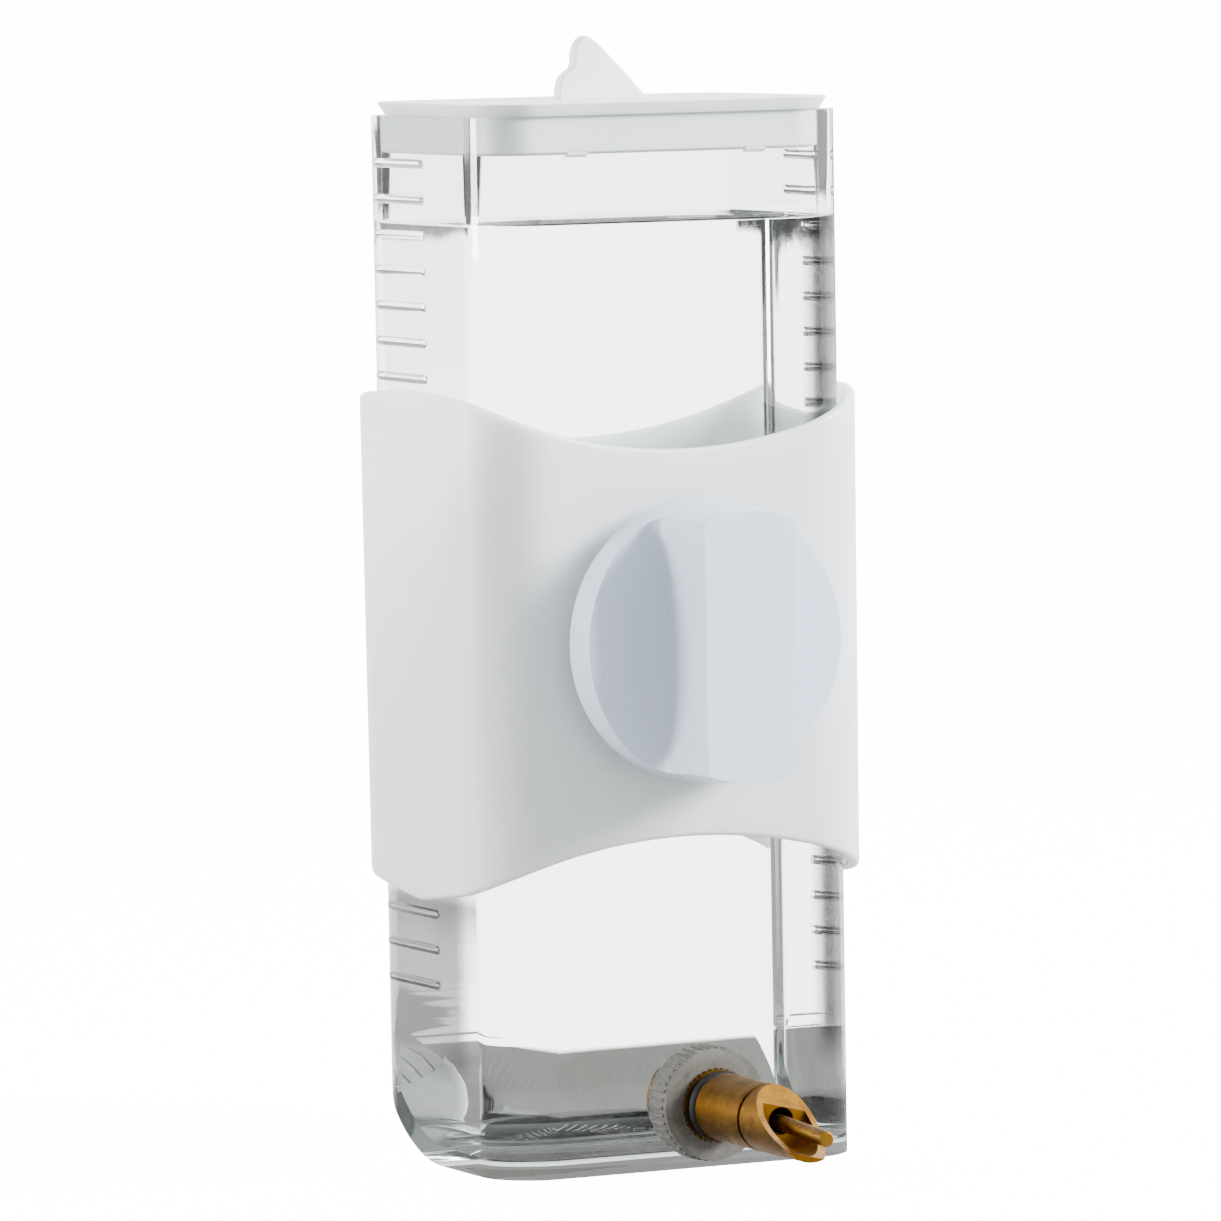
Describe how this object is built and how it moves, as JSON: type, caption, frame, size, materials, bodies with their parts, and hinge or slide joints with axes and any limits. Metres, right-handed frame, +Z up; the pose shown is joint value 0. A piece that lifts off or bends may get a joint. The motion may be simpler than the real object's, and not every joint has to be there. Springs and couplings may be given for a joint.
{
  "type": "bird cage waterer",
  "caption": "Clear plastic water bottle for a bird cage, with a plug lid, a clamp-on white sleeve and a brass pin nozzle.",
  "frame": {"origin": "centre of the bottle's flat foot, on the surface it stands on", "axes": "+Z up, -Y toward the nozzle and the knob, +X to the right as seen from the nozzle's side"},
  "size_m": [0.0626, 0.0902, 0.1604],
  "materials": {
    "clear_plastic": "clear moulded plastic, glossy",
    "white_plastic": "semi-gloss",
    "knob_plastic": "gloss, slightly bluish white",
    "brass": "turned, slightly tarnished",
    "steel": "zinc plated",
    "red_rubber": "matt",
    "black_rubber": "satin"
  },
  "bodies": {
    "tank": {"bottle": "clear_plastic", "collar": "clear_plastic", "gasket": "red_rubber", "nozzle_base": "brass", "black_ring": "black_rubber", "barrel": "brass", "retainer": "steel", "spring": "steel", "seat_ring": "black_rubber", "tip": "brass"},
    "cover": {"lid": "white_plastic"},
    "holder": {"sleeve": "white_plastic", "stud": "steel"},
    "pressure_washer": {"washer": "steel"},
    "clamp_knob": {"knob": "knob_plastic", "knob_insert": "brass"},
    "pin": {"valve_pin": "brass"}
  },
  "joints": [
    {"name": "lid_lift", "type": "slide", "parent": "tank", "child": "cover", "axis": [0, 0, 1], "range_m": [0, 0.03]},
    {"name": "holder_slide", "type": "slide", "parent": "tank", "child": "holder", "axis": [0, 0, 1], "range_m": [-0.024, 0.036]},
    {"name": "washer_slide", "type": "slide", "parent": "holder", "child": "pressure_washer", "axis": [0, -1, 0], "range_m": [0, 0.00751]},
    {"name": "knob_turn", "type": "hinge", "parent": "pressure_washer", "child": "clamp_knob", "pos_m": [0, -0.0177, 0.0757], "axis": [0, -1, 0], "range_deg": [0, 2160]},
    {"name": "pin_tilt", "type": "hinge", "parent": "tank", "child": "pin", "pos_m": [0, -0.03576, 0.0101], "axis": [1, 0, 0], "range_deg": [-9, 3], "stiffness_Nm_per_rad": 0.01}
  ],
  "couplings": [
    {"joint": "washer_slide", "follows": "knob_turn", "m_per_rad": 0.00019894}
  ]
}
